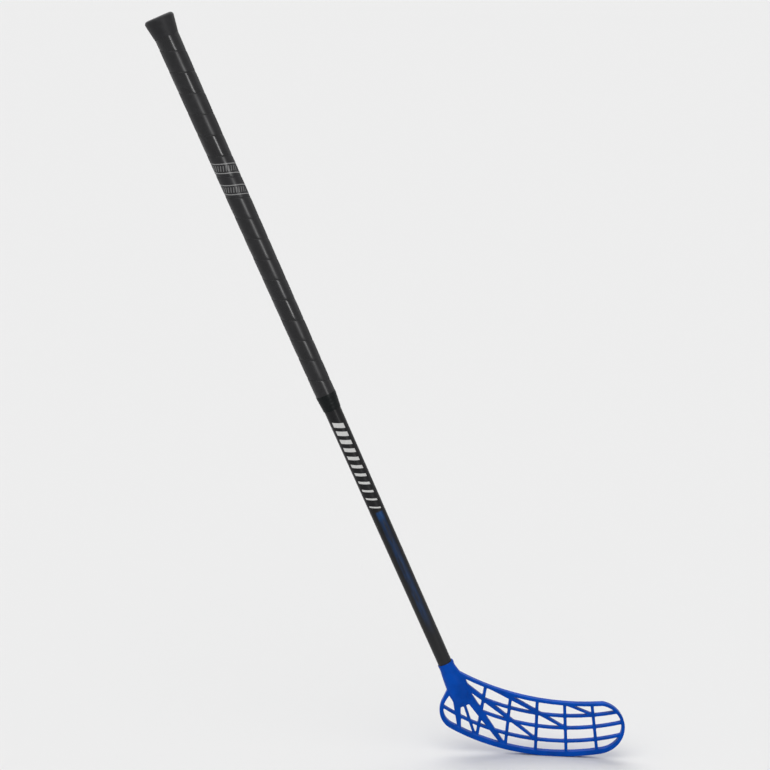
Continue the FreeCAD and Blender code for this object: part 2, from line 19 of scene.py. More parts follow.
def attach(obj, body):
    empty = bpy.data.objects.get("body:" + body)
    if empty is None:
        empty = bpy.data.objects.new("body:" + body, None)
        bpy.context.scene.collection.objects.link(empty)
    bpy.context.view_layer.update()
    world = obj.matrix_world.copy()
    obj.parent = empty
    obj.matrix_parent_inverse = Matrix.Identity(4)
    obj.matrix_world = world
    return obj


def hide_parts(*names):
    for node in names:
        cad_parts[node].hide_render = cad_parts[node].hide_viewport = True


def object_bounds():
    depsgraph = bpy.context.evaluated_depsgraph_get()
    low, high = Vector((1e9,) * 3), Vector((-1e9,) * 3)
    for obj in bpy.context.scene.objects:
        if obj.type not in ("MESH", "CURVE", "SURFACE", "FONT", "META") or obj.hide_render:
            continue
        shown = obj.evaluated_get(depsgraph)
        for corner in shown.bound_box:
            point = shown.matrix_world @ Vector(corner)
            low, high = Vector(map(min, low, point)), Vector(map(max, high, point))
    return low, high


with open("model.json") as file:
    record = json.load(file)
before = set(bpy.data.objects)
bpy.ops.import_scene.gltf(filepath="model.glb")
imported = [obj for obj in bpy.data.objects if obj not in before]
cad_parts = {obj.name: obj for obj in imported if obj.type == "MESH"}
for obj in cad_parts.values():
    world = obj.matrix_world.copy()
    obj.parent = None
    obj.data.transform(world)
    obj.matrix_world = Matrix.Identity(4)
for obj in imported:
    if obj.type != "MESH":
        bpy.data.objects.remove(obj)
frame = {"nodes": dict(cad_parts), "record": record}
CAD_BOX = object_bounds()

LOG = logging.getLogger("floorball_stick")
BODY = "root"

MILLIMETRE = 0.001
FULL_TURN = 2 * math.pi
MERGE_DISTANCE = 1e-6
# Edges sharper than the first angle are rounded, and what stays sharper than the second is a crease.
SHARP_ANGLE = math.radians(25)
CREASE_ANGLE = math.radians(60)

Colour = tuple[float, float, float, float]
Place = tuple[float, float, float]
Socket = bpy.types.NodeSocket
Number = Union["Value", float]
Profile = Sequence[tuple[float, float]]
Geometry = Union[bmesh.types.BMVert, bmesh.types.BMEdge, bmesh.types.BMFace]

WHITE: Colour = (1.0, 1.0, 1.0, 1.0)
ORIGIN: Place = (0.0, 0.0, 0.0)
UPWARDS: Place = (0.0, 0.0, 1.0)


class Slot(Enum):
    """Names of the record's material slots."""

    SHAFT = "shaft"
    KNOB = "knob"
    GRIP = "grip"
    TAPE = "tape"
    BLADE = "blade"


class Solid(Enum):
    """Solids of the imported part."""

    SHAFT = "shaft_tube"
    KNOB = "end_knob"
    GRIP = "grip_wrap"
    TAPE = "finishing_tape"
    BLADE = "blade"
    UPPER_SCREW = "upper_blade_screw"
    LOWER_SCREW = "lower_blade_screw"


@dataclass(frozen=True)
class ShaftLine:
    """Axis of the shaft.

    Attributes:
        direction: Unit vector from the blade towards the butt end.
        hold_point: Station of the frame's origin, which lies on the axis.
    """

    direction: Vector
    hold_point: float

    @classmethod
    def from_record(cls, record: Mapping[str, Any]) -> "ShaftLine":
        """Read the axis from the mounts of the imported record.

        Args:
            record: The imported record.

        Returns:
            The axis of the shaft.
        """
        mounts = {mount["name"]: mount for mount in record["mounts"]}
        direction = Vector(mounts["hand_grip"]["axis"]).normalized()
        return cls(direction, Vector(mounts["butt_face"]["pos_m"]).length)

    @property
    def lean(self) -> float:
        """Angle about +Y that stands the shaft upright."""
        return math.atan2(-self.direction.x, self.direction.z)

    def laid(self) -> Matrix:
        """Turn that lays an upright piece along the axis."""
        return Matrix.Rotation(-self.lean, 4, "Y")

    def height(self, station: float) -> float:
        """Height of a station on the upright axis."""
        return self.hold_point - station

    def point(self, station: float) -> Vector:
        """Place of a station in the frame."""
        return self.direction * self.height(station)


def shaded(colour: Colour, share: float) -> Colour:
    """A colour, with its brightness times a share."""
    red, green, blue, alpha = colour
    return red * share, green * share, blue * share, alpha


class Value:
    """Number that varies over a surface; arithmetic on it adds Math nodes."""

    def __init__(self, graph: "NodeGraph", socket: Socket) -> None:
        """Wrap an output socket that holds a number, of a node tree."""
        self.graph = graph
        self.socket = socket

    def __add__(self, other: Number) -> "Value":
        """Sum."""
        return self.graph.math("ADD", self, other)

    __radd__ = __add__

    def __sub__(self, other: Number) -> "Value":
        """Difference."""
        return self.graph.math("SUBTRACT", self, other)

    def __rsub__(self, other: Number) -> "Value":
        """Difference, taken from a plain number."""
        return self.graph.math("SUBTRACT", other, self)

    def __mul__(self, other: Number) -> "Value":
        """Product."""
        return self.graph.math("MULTIPLY", self, other)

    __rmul__ = __mul__

    def __truediv__(self, other: Number) -> "Value":
        """Quotient."""
        return self.graph.math("DIVIDE", self, other)

    def __rtruediv__(self, other: Number) -> "Value":
        """Quotient of a plain number."""
        return self.graph.math("DIVIDE", other, self)

    def __abs__(self) -> "Value":
        """Size without the sign."""
        return self.graph.math("ABSOLUTE", self)

    def floor(self) -> "Value":
        """Whole part."""
        return self.graph.math("FLOOR", self)

    def larger(self, other: Number) -> "Value":
        """The larger of two numbers."""
        return self.graph.math("MAXIMUM", self, other)

    def rise(self, low: float, high: float) -> "Value":
        """Smooth step.

        Args:
            low: Where the step leaves 0.
            high: Where it reaches 1.

        Returns:
            A number from 0 to 1.
        """
        inputs = {"Value": self, "From Min": low, "From Max": high}
        step = self.graph.node("ShaderNodeMapRange", {"interpolation_type": "SMOOTHSTEP"}, inputs)
        return Value(self.graph, step.outputs["Result"])

    def band(self, low: float, high: float, soft: float) -> "Value":
        """Mask of a stretch.

        Args:
            low: Start of the stretch.
            high: End of the stretch.
            soft: Width over which its edges fade.

        Returns:
            1 inside the stretch and 0 outside.
        """
        begun = self.rise(low - soft / 2, low + soft / 2)
        ended = self.rise(high - soft / 2, high + soft / 2)
        return begun * (1 - ended)


class NodeGraph:
    """Node tree of a material or of the backdrop."""

    def __init__(self, owner: Union[bpy.types.Material, bpy.types.World]) -> None:
        """Start an empty tree.

        Args:
            owner: The material or world that the tree belongs to.
        """
        owner.use_nodes = True
        self.tree = owner.node_tree
        self.tree.nodes.clear()

    def node(
        self,
        kind: str,
        settings: Optional[Mapping[str, Any]] = None,
        inputs: Optional[Mapping[Union[str, int], Any]] = None,
    ) -> bpy.types.Node:
        """Add a node.

        Args:
            kind: Type of the node.
            settings: Options of the node, which are set first.
            inputs: Values or sockets, by the name or number of the input.

        Returns:
            The new node.
        """
        made = self.tree.nodes.new(kind)
        for name, setting in (settings or {}).items():
            setattr(made, name, setting)
        for name, fed in (inputs or {}).items():
            self.feed(made.inputs[name], fed)
        return made

    def feed(self, socket: Socket, fed: Any) -> None:
        """Link or set an input.

        Args:
            socket: The input.
            fed: A Value or socket to link, or a plain value to set.
        """
        source = fed.socket if isinstance(fed, Value) else fed
        if isinstance(source, Socket):
            self.tree.links.new(source, socket)
        else:
            socket.default_value = source

    def math(self, operation: str, *operands: Number) -> Value:
        """Add a Math node on values or plain numbers."""
        made = self.node("ShaderNodeMath", {"operation": operation}, dict(enumerate(operands)))
        return Value(self, made.outputs[0])


class FinishGraph(NodeGraph):
    """Node tree of one finish."""

    def __init__(self, name: str) -> None:
        """Start an empty material of a name."""
        self.material = bpy.data.materials.new(name)
        super().__init__(self.material)

    def place(self, turn: float = 0.0) -> Socket:
        """Coordinates of the piece.

        Args:
            turn: Angle about +Y, such as the one that stands the shaft upright.

        Returns:
            A vector socket, in metres.
        """
        point = self.node("ShaderNodeTexCoord").outputs["Object"]
        inputs = {"Vector": point, "Rotation": (0.0, turn, 0.0)}
        return self.node("ShaderNodeMapping", {"vector_type": "POINT"}, inputs).outputs["Vector"]

    def split(self, vector: Socket) -> tuple[Value, Value, Value]:
        """The x, y and z of a vector."""
        parts = self.node("ShaderNodeSeparateXYZ", inputs={"Vector": vector}).outputs
        return Value(self, parts["X"]), Value(self, parts["Y"]), Value(self, parts["Z"])

    def stretched(self, vector: Socket, scale: Place) -> Socket:
        """A vector, scaled along each axis."""
        inputs = {"Vector": vector, "Scale": scale}
        return self.node("ShaderNodeMapping", {"vector_type": "POINT"}, inputs).outputs["Vector"]

    def mottle(self, vector: Socket, size: float, detail: float = 2.0) -> Value:
        """Soft irregular pattern from 0 to 1, with blotches of a size and layers of finer detail."""
        inputs = {"Vector": vector, "Scale": 1 / size, "Detail": detail}
        return Value(self, self.node("ShaderNodeTexNoise", inputs=inputs).outputs[0])

    def pebbles(self, vector: Socket, size: float) -> Value:
        """Distance from a pebble's middle, as a share of its size, in a pebbled pattern."""
        inputs = {"Vector": vector, "Scale": 1 / size}
        cells = self.node("ShaderNodeTexVoronoi", {"feature": "SMOOTH_F1"}, inputs)
        return Value(self, cells.outputs["Distance"])

    def chance(self, number: Value) -> Value:
        """Random number from 0 to 1 for each value of a whole number."""
        made = self.node("ShaderNodeTexWhiteNoise", {"noise_dimensions": "1D"}, {"W": number})
        return Value(self, made.outputs["Value"])

    def blend(self, factor: Value, first: Any, second: Any) -> Socket:
        """Mix two colours or colour sockets; the factor is the share of the second."""
        inputs = {0: factor, 6: first, 7: second}
        return self.node("ShaderNodeMix", {"data_type": "RGBA"}, inputs).outputs[2]

    def shades(self, pattern: Value, colour: Colour, low: float, high: float) -> Socket:
        """Vary a colour's brightness from low to high times, as a pattern goes from 0 to 1."""
        return self.blend(pattern, shaded(colour, low), shaded(colour, high))

    def relief(self, height: Value, depth: float, strength: float = 1.0) -> Socket:
        """The normal, turned by a pattern's relief of a depth in metres."""
        inputs = {"Height": height, "Distance": depth, "Strength": strength}
        return self.node("ShaderNodeBump", inputs=inputs).outputs["Normal"]

    def surface(self, inputs: Mapping[str, Any]) -> bpy.types.Material:
        """Close the tree with a surface shader.

        Args:
            inputs: Values or sockets, by the name of the shader's input.

        Returns:
            The finished material.
        """
        shader = self.node("ShaderNodeBsdfPrincipled", inputs=inputs)
        self.node("ShaderNodeOutputMaterial", inputs={"Surface": shader.outputs["BSDF"]})
        return self.material


@dataclass(frozen=True)
class LacquerFinish:
    """Satin graphite lacquer of the shaft, with plain pale bars and a blue fade printed on its front.

    Attributes:
        line: Axis of the shaft.
        radius: Mean radius of the shaft under the print.
        colour: Graphite of the lacquer.
        bare: Lighter graphite below the print.
        pale: Ink of the bars.
        blue: Ink of the fade.
        bare_from: Station from which the lacquer is bare.
        fibre: Width of a fibre under the lacquer.
        fibre_draw: Scale that draws the fibres out along the shaft.
        cloud: Size of the cloudy patches in the lacquer.
        depth: Depth of the fibres' relief.
        bars: First and last station of the bars.
        bar_count: Number of bars, which thin out towards the blade.
        bar_fill: Shares of the pitch that the first and the last bar fill.
        bar_reach: Half the width of the print across the shaft.
        bar_edge: Width over which the ends of a bar fade.
        slant: Rise of the bars along the shaft for each metre across it.
        side_share: Share of the radius over which all print ends at the sides.
        fade: First and last station of the blue fade.
        fade_side: How far the fade lies from the front, towards the toe.
        fade_reach: Half the width of the fade.
        fade_ink: Shares of ink at the strong start of the fade, all along it, and in its patches.
        patch: Size of the patches of the fade.
        patch_draw: Scale that draws the patches out along the shaft.
    """

    line: ShaftLine
    radius: float
    colour: Colour = (0.0105, 0.0108, 0.0118, 1.0)
    bare: Colour = (0.0205, 0.0205, 0.0220, 1.0)
    pale: Colour = (0.66, 0.66, 0.65, 1.0)
    blue: Colour = (0.003, 0.085, 0.300, 1.0)
    bare_from: float = 0.948
    fibre: float = 0.0005
    fibre_draw: Place = (1.0, 1.0, 0.03)
    cloud: float = 0.014
    depth: float = 0.00003
    bars: tuple[float, float] = (0.583, 0.720)
    bar_count: int = 11
    bar_fill: tuple[float, float] = (0.58, 0.18)
    bar_reach: float = 0.0070
    bar_edge: float = 0.0004
    slant: float = 0.4456
    side_share: float = 0.3
    fade: tuple[float, float] = (0.722, 0.918)
    fade_side: float = 0.0022
    fade_reach: float = 0.0042
    fade_ink: tuple[float, float, float] = (0.34, 0.07, 0.19)
    patch: float = 0.004
    patch_draw: Place = (1.0, 1.0, 0.22)

    def material(self) -> bpy.types.Material:
        """Build the material."""
        graph = FinishGraph("shaft_lacquer")
        upright = graph.place(self.line.lean)
        x, y, z = graph.split(upright)
        station = self.line.hold_point - z
        front = 1 - y.rise(-self.side_share * self.radius, 0.0)

        fibres = graph.mottle(graph.stretched(upright, self.fibre_draw), self.fibre, 3.0)
        clouds = graph.mottle(upright, self.cloud, 3.0)
        tone = fibres * 0.5 + clouds * 0.5
        printed_over = graph.shades(tone.rise(0.25, 0.75), self.colour, 0.7, 1.35)
        below = station.rise(self.fade[0], self.bare_from)
        ground = graph.blend(below * (0.6 + tone * 0.8), printed_over, self.bare)

        blue = self.fade_mask(graph, x, station, upright) * front
        pale = self.bar_mask(x, station) * front
        inked = graph.blend(blue, ground, self.blue)
        printed = graph.blend(pale, inked, self.pale)
        return graph.surface({
            "Base Color": printed,
            "Roughness": 0.30 + fibres * 0.16 + pale * 0.08,
            "Normal": graph.relief(fibres, self.depth, 0.35),
            "Specular IOR Level": 0.13,
            "Coat Weight": 0.05,
            "Coat Roughness": 0.18,
        })

    def bar_mask(self, x: Value, station: Value) -> Value:
        """Mask of the slanted bars.

        Args:
            x: Distance across the shaft, towards the toe.
            station: Station on the shaft.

        Returns:
            1 on a bar and 0 beside it.
        """
        first, last = self.bars
        pitch = (last - first) / self.bar_count
        steps = (station - x * self.slant - first) / pitch
        index = steps.floor()
        within = steps - index
        widest, thinnest = self.bar_fill
        half = widest / 2 - index * ((widest - thinnest) / 2 / (self.bar_count - 1))
        bar = 1 - (abs(within - 0.5) - half).rise(-0.02, 0.02)
        run = steps.band(0.0, self.bar_count, 0.01)
        across = x.band(-self.bar_reach, self.bar_reach, self.bar_edge)
        return bar * run * across

    def fade_mask(
        self, graph: FinishGraph, x: Value, station: Value, upright: Socket
    ) -> Value:
        """Mask of the blue fade.

        Args:
            graph: The tree of the finish.
            x: Distance across the shaft, towards the toe.
            station: Station on the shaft.
            upright: Coordinates with the shaft upright.

        Returns:
            The share of blue ink.
        """
        first, last = self.fade
        strong_ink, even_ink, patch_ink = self.fade_ink
        run = 1 - station.rise(first + 0.7 * (last - first), last)
        start = station.rise(first - 2 * MILLIMETRE, first + 1 * MILLIMETRE)
        strong = 1 - station.rise(first + 6 * MILLIMETRE, first + 16 * MILLIMETRE)
        drawn = graph.stretched(upright, self.patch_draw)
        patches = graph.mottle(drawn, self.patch, 1.0).rise(0.25, 0.7)
        side = x - self.fade_side
        across = side.band(-self.fade_reach, self.fade_reach, self.fade_reach)
        return start * across * (strong * strong_ink + run * (even_ink + patches * patch_ink))


@dataclass(frozen=True)
class RibbonFinish:
    """Charcoal polyurethane of the grip ribbon, with pale lines and ticks printed along it.

    Attributes:
        line: Axis of the shaft.
        pitch: Distance between loops.
        first_seam: Station of the first seam at the front.
        radius: Mean radius of the grip.
        colour: Charcoal of the ribbon.
        ink: Ink of the print.
        cloud: Size of the cloudy patches.
        pebble: Size of one pebble of the grain.
        fine: Size of the finest grain.
        depth: Depth of the grain.
        bands: Stations, at the front, of the two lines of each printed band.
        stroke: Width of a line.
        soft: Width over which the edge of a line fades.
        tick_pitch: Distance between the ticks of a band.
        tick_span: Where a tick starts and ends, as shares of the pitch.
        tick_lean: How far the ticks lean round the ribbon for each metre along it.
        tick_inset: Distance of the ticks from the lines.
        tick_ink: Share of ink in the ticks.
        tick_reach: Angle to either side of the front that the ticks cover.
        duller: Angles from the front between which the ribbon grows duller, away from the print.
    """

    line: ShaftLine
    pitch: float
    first_seam: float
    radius: float
    colour: Colour = (0.0085, 0.0085, 0.0098, 1.0)
    ink: Colour = (0.30, 0.30, 0.30, 1.0)
    cloud: float = 0.009
    pebble: float = 0.0009
    fine: float = 0.00035
    depth: float = 0.00005
    bands: tuple[tuple[float, float], ...] = ((0.2057, 0.2188), (0.2361, 0.2491))
    stroke: float = 0.0012
    soft: float = 0.0003
    tick_pitch: float = 0.0034
    tick_span: tuple[float, float] = (0.30, 0.68)
    tick_lean: float = 0.3
    tick_inset: float = 0.00264
    tick_ink: float = 0.55
    tick_reach: float = 1.15
    duller: tuple[float, float] = (0.7, 1.4)

    def material(self) -> bpy.types.Material:
        """Build the material."""
        graph = FinishGraph("grip_polyurethane")
        upright = graph.place(self.line.lean)
        x, y, z = graph.split(upright)
        turn = graph.math("ARCTAN2", x, y * -1.0)
        along = self.line.hold_point - z - turn * (self.pitch / FULL_TURN)

        loop = graph.chance(((along - self.first_seam) / self.pitch).floor())
        clouds = graph.mottle(upright, self.cloud, 3.0)
        grain = graph.pebbles(upright, self.pebble)
        fine = graph.mottle(upright, self.fine, 2.0)
        ground = graph.shades((clouds * 0.7 + fine * 0.3).rise(0.3, 0.7), self.colour, 0.75, 1.4)
        print_mask = self.print_mask(along, turn) * fine.rise(0.2, 0.45)
        unprinted = abs(turn).rise(*self.duller)
        return graph.surface({
            "Base Color": graph.blend(print_mask, ground, self.ink),
            "Roughness": 0.13 + loop * 0.20 + clouds * 0.14 + unprinted * 0.30,
            "Normal": graph.relief(grain * 0.6 + fine * 0.4, self.depth, 0.25),
            "Specular IOR Level": 0.32,
            "Sheen Weight": 0.05,
            "Sheen Roughness": 0.35,
        })

    def print_mask(self, along: Value, turn: Value) -> Value:
        """Mask of the printed bands.

        Args:
            along: Station, followed round the winding to the front.
            turn: Angle from the front.

        Returns:
            1 on a line or tick and 0 beside it.
        """
        steps = (turn * self.radius + along * self.tick_lean) / self.tick_pitch
        ticks = (steps - steps.floor()).band(*self.tick_span, 0.12)
        ticked = ticks * turn.band(-self.tick_reach, self.tick_reach, 0.05) * self.tick_ink
        half, inset = self.stroke / 2, self.tick_inset
        masks = []
        for upper, lower in self.bands:
            masks += [along.band(edge - half, edge + half, self.soft) for edge in (upper, lower)]
            masks.append(along.band(upper + inset, lower - inset, self.soft) * ticked)
        printed = sum(masks[1:], masks[0])
        return printed * turn.band(-FULL_TURN / 4, FULL_TURN / 4, 0.1)


@dataclass(frozen=True)
class KnobFinish:
    """Matte near-black moulding of the end knob.

    Attributes:
        colour: Colour of the moulding.
        sand: Size of the sandy grain.
        cloud: Size of the cloudy patches.
        depth: Depth of the grain.
    """

    colour: Colour = (0.0090, 0.0090, 0.0108, 1.0)
    sand: float = 0.00045
    cloud: float = 0.007
    depth: float = 0.00005

    def material(self) -> bpy.types.Material:
        """Build the material."""
        graph = FinishGraph("knob_moulding")
        point = graph.place()
        sand = graph.mottle(point, self.sand, 3.0)
        clouds = graph.mottle(point, self.cloud, 3.0)
        return graph.surface({
            "Base Color": graph.shades(clouds.rise(0.3, 0.7), self.colour, 0.8, 1.3),
            "Roughness": 0.46 + sand * 0.2,
            "Normal": graph.relief(sand, self.depth, 0.45),
            "Specular IOR Level": 0.28,
            "Sheen Weight": 0.05,
            "Sheen Roughness": 0.35,
        })


@dataclass(frozen=True)
class TapeFinish:
    """Dark stretched tape that binds the lower end of the grip.

    Attributes:
        line: Axis of the shaft.
        colour: Colour of the tape.
        crease: Size of the creases, whose hollows are painted darker and crests painted lighter, as
            shade and highlight.
        crease_draw: Scale that draws the creases out round the shaft.
        fine: Size of the fine grain.
        depth: Depth of the creases.
    """

    line: ShaftLine
    colour: Colour = (0.0036, 0.0056, 0.0058, 1.0)
    crease: float = 0.0032
    crease_draw: Place = (1.0, 1.0, 3.0)
    fine: float = 0.0004
    depth: float = 0.00025

    def material(self) -> bpy.types.Material:
        """Build the material."""
        graph = FinishGraph("finishing_tape")
        upright = graph.place(self.line.lean)
        creases = graph.mottle(graph.stretched(upright, self.crease_draw), self.crease, 3.0)
        fine = graph.mottle(upright, self.fine, 2.0)
        return graph.surface({
            # The colour is painted shade in the hollows of the creases and painted highlight on their
            # crests, drawn from the same pattern as their relief.
            "Base Color": graph.shades(creases.rise(0.3, 0.7), self.colour, 0.7, 1.5),
            "Roughness": 0.30 + fine * 0.12 + creases * 0.12,
            "Normal": graph.relief(creases * 0.8 + fine * 0.2, self.depth, 0.5),
            "Specular IOR Level": 0.13,
        })


@dataclass(frozen=True)
class BladeFinish:
    """Waxy blue polyethylene of the blade.

    Attributes:
        floor: Height of the floor, on which the sole is rubbed.
        colour: Blue of the moulding.
        rubbed: Colour of the finest scratches on the sole.
        flow: Size of the flow marks of the moulding.
        skin: Size of the grain of its skin.
        depth: Depth of the grain.
        scratch: Width of a scratch.
        scratch_draw: Scale that draws the scratches out along the sole.
        rub_heights: Heights above the floor between which the scratches end.
        rub_ink: Share of the scratches' colour.
    """

    floor: float
    colour: Colour = (0.0, 0.064, 0.415, 1.0)
    rubbed: Colour = (0.030, 0.120, 0.480, 1.0)
    flow: float = 0.016
    skin: float = 0.0007
    depth: float = 0.00004
    scratch: float = 0.0005
    scratch_draw: Place = (0.06, 1.0, 1.0)
    rub_heights: tuple[float, float] = (0.0005, 0.0050)
    rub_ink: float = 0.45

    def material(self) -> bpy.types.Material:
        """Build the material."""
        graph = FinishGraph("blade_polyethylene")
        point = graph.place()
        _, _, z = graph.split(point)
        flow = graph.mottle(point, self.flow, 2.0)
        skin = graph.mottle(point, self.skin, 3.0)
        scratches = graph.mottle(graph.stretched(point, self.scratch_draw), self.scratch, 2.0)
        sole = 1 - (z - self.floor).rise(*self.rub_heights)
        rub = sole * scratches.rise(0.52, 0.72) * self.rub_ink
        moulded = graph.shades(flow.rise(0.3, 0.7), self.colour, 0.88, 1.12)
        return graph.surface({
            "Base Color": graph.blend(rub, moulded, self.rubbed),
            "Roughness": 0.24 + flow * 0.10 + skin * 0.06 + rub * 0.2,
            "Normal": graph.relief(skin, self.depth, 0.22),
            "Specular IOR Level": 0.06,
        })


@dataclass(frozen=True)
class ScrewFinish:
    """Zinc-plated steel of the blade screws.

    Attributes:
        colour: Colour of the plating.
        spangle: Size of one spangle of zinc.
        mark: Width of a tool mark.
        mark_draw: Scale that draws the marks out.
        depth: Depth of the marks.
    """

    colour: Colour = (0.50, 0.50, 0.50, 1.0)
    spangle: float = 0.0005
    mark: float = 0.00012
    mark_draw: Place = (0.15, 1.0, 1.0)
    depth: float = 0.00001

    def material(self) -> bpy.types.Material:
        """Build the material."""
        graph = FinishGraph("screw_zinc")
        point = graph.place()
        spangles = graph.mottle(point, self.spangle, 2.0)
        marks = graph.mottle(graph.stretched(point, self.mark_draw), self.mark, 2.0)
        return graph.surface({
            "Base Color": graph.shades(spangles.rise(0.35, 0.65), self.colour, 0.75, 1.0),
            "Roughness": 0.26 + marks * 0.2,
            "Normal": graph.relief(marks, self.depth, 0.3),
            "Metallic": 1.0,
        })


@dataclass(frozen=True)
class FloorFinish:
    """Plain pale floor.

    Attributes:
        colour: Colour of the floor.
    """

    colour: Colour = (0.78, 0.78, 0.78, 1.0)

    def material(self) -> bpy.types.Material:
        """Build the material."""
        graph = FinishGraph("pale_floor")
        return graph.surface({"Base Color": self.colour, "Roughness": 0.9, "Specular IOR Level": 0.0})


class Workpiece:
    """Mesh in the making, which stands upright on +Z until it is laid in place."""

    def __init__(self) -> None:
        """Start an empty mesh."""
        self.mesh = bmesh.new()

    @property
    def everything(self) -> list[Geometry]:
        """All its corners, edges and faces."""
        return [*self.mesh.verts, *self.mesh.edges, *self.mesh.faces]

    def outline(self, profile: Profile) -> list[bmesh.types.BMEdge]:
        """Draw a closed profile of radii and heights beside +Z, and give its edges."""
        corners = [self.mesh.verts.new((radius, 0.0, height)) for radius, height in profile]
        return [self.mesh.edges.new(pair) for pair in zip(corners, corners[1:] + corners[:1])]

    def revolve(self, profile: Profile, steps: int, longest: float) -> None:
        """Turn a closed profile about +Z.

        Args:
            profile: Corners of the profile, each a radius and a height.
            steps: Number of faces round the axis.
            longest: Length above which an edge of the profile is divided.
        """
        for edge in self.outline(profile):
            cuts = math.ceil(edge.calc_length() / longest) - 1
            if cuts > 0:
                bmesh.ops.subdivide_edges(self.mesh, edges=[edge], cuts=cuts)
        bmesh.ops.spin(
            self.mesh, geom=self.everything, cent=ORIGIN, axis=UPWARDS,
            angle=FULL_TURN, steps=steps, use_merge=True,
        )
        self.close()

    def wind(self, profile: Profile, pitch: float, turns: int, steps: int) -> None:
        """Sweep a closed profile down a left-handed helix about +Z.

        Args:
            profile: Corners of the profile, each a radius and a height.
            pitch: Fall of the helix in one turn.
            turns: Number of turns.
            steps: Number of faces in one turn.
        """
        self.outline(profile)
        bmesh.ops.spin(
            self.mesh, geom=self.everything, cent=ORIGIN, axis=UPWARDS,
            dvec=(0.0, 0.0, -pitch / steps), angle=FULL_TURN, steps=steps,
        )
        first = self.everything
        for turn in range(1, turns):
            copied = bmesh.ops.duplicate(self.mesh, geom=first)["geom"]
            loop = [part for part in copied if isinstance(part, bmesh.types.BMVert)]
            bmesh.ops.translate(self.mesh, vec=(0.0, 0.0, -pitch * turn), verts=loop)
        bmesh.ops.remove_doubles(self.mesh, verts=self.mesh.verts, dist=MERGE_DISTANCE)

    def trim(self, top: float, bottom: float) -> None:
        """Cut the mesh level at both ends, and close the cuts.

        Args:
            top: Height above which it is cut away.
            bottom: Height below which it is cut away.
        """
        for height, side in ((top, 1.0), (bottom, -1.0)):
            bmesh.ops.bisect_plane(
                self.mesh, geom=self.everything, dist=MERGE_DISTANCE,
                plane_co=(0.0, 0.0, height), plane_no=(0.0, 0.0, side), clear_outer=True,
            )
            rim = [edge for edge in self.mesh.edges if edge.is_boundary]
            bmesh.ops.holes_fill(self.mesh, edges=rim, sides=0)

    def close(self) -> None:
        """Merge doubles and turn every face outwards."""
        bmesh.ops.remove_doubles(self.mesh, verts=self.mesh.verts, dist=MERGE_DISTANCE)
        bmesh.ops.recalc_face_normals(self.mesh, faces=self.mesh.faces)

    def round_edges(self, width: float, segments: int = 3) -> None:
        """Round the sharp edges.

        Args:
            width: Width of the rounding.
            segments: Number of faces across it.
        """
        sharp = [
            edge for edge in self.mesh.edges
            if edge.is_manifold and edge.calc_face_angle() > SHARP_ANGLE
        ]
        bmesh.ops.bevel(
            self.mesh, geom=sharp, offset=width, offset_type="OFFSET", segments=segments, profile=0.5,
            affect="EDGES", material=-1, clamp_overlap=True,
        )

    def push(self, amount: Callable[[Vector], float]) -> None:
        """Push each corner away from +Z.

        Args:
            amount: How far a corner is pushed, by its place.
        """
        for vert in self.mesh.verts:
            outward = Vector((vert.co.x, vert.co.y, 0.0)).normalized()
            vert.co += outward * amount(vert.co)

    def swell(self, amount: float, size: float) -> None:
        """Push the surface in and out by a soft irregular pattern, with swellings of a size."""
        self.push(lambda place: amount * noise.noise(place / size))

    def lay(
        self, name: str, turn: Matrix, material: bpy.types.Material, solid: Solid
    ) -> bpy.types.Object:
        """Lay the piece in the frame, where it stands for a solid.

        Args:
            name: Name of the piece.
            turn: Turn from upright to its place.
            material: Its finish.
            solid: The solid that it stands for.

        Returns:
            The piece.
        """
        bmesh.ops.transform(self.mesh, matrix=turn, verts=self.mesh.verts)
        data = bpy.data.meshes.new(name)
        self.mesh.to_mesh(data)
        self.mesh.free()
        data.set_sharp_from_angle(angle=CREASE_ANGLE)
        return show(name, data, material, solid)


def put(name: str, data: bpy.types.ID) -> bpy.types.Object:
    """Put a new object into the scene.

    Args:
        name: Name of the object.
        data: Its mesh, lamp or camera.

    Returns:
        The object.
    """
    made = bpy.data.objects.new(name, data)
    bpy.context.scene.collection.objects.link(made)
    return made


def show(
    name: str, data: bpy.types.Mesh, material: bpy.types.Material, solid: Solid
) -> bpy.types.Object:
    """Show a finished mesh in place of a solid.

    Args:
        name: Name of the piece.
        data: Its mesh, in the frame.
        material: Its finish.
        solid: The solid that it stands for.

    Returns:
        The piece.
    """
    data.name = name
    data.shade_smooth()
    data.materials.clear()
    data.materials.append(material)
    piece = put(name, data)
    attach(piece, BODY)
    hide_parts(solid.value)
    LOG.info("%s: %d faces", name, len(data.polygons))
    return piece


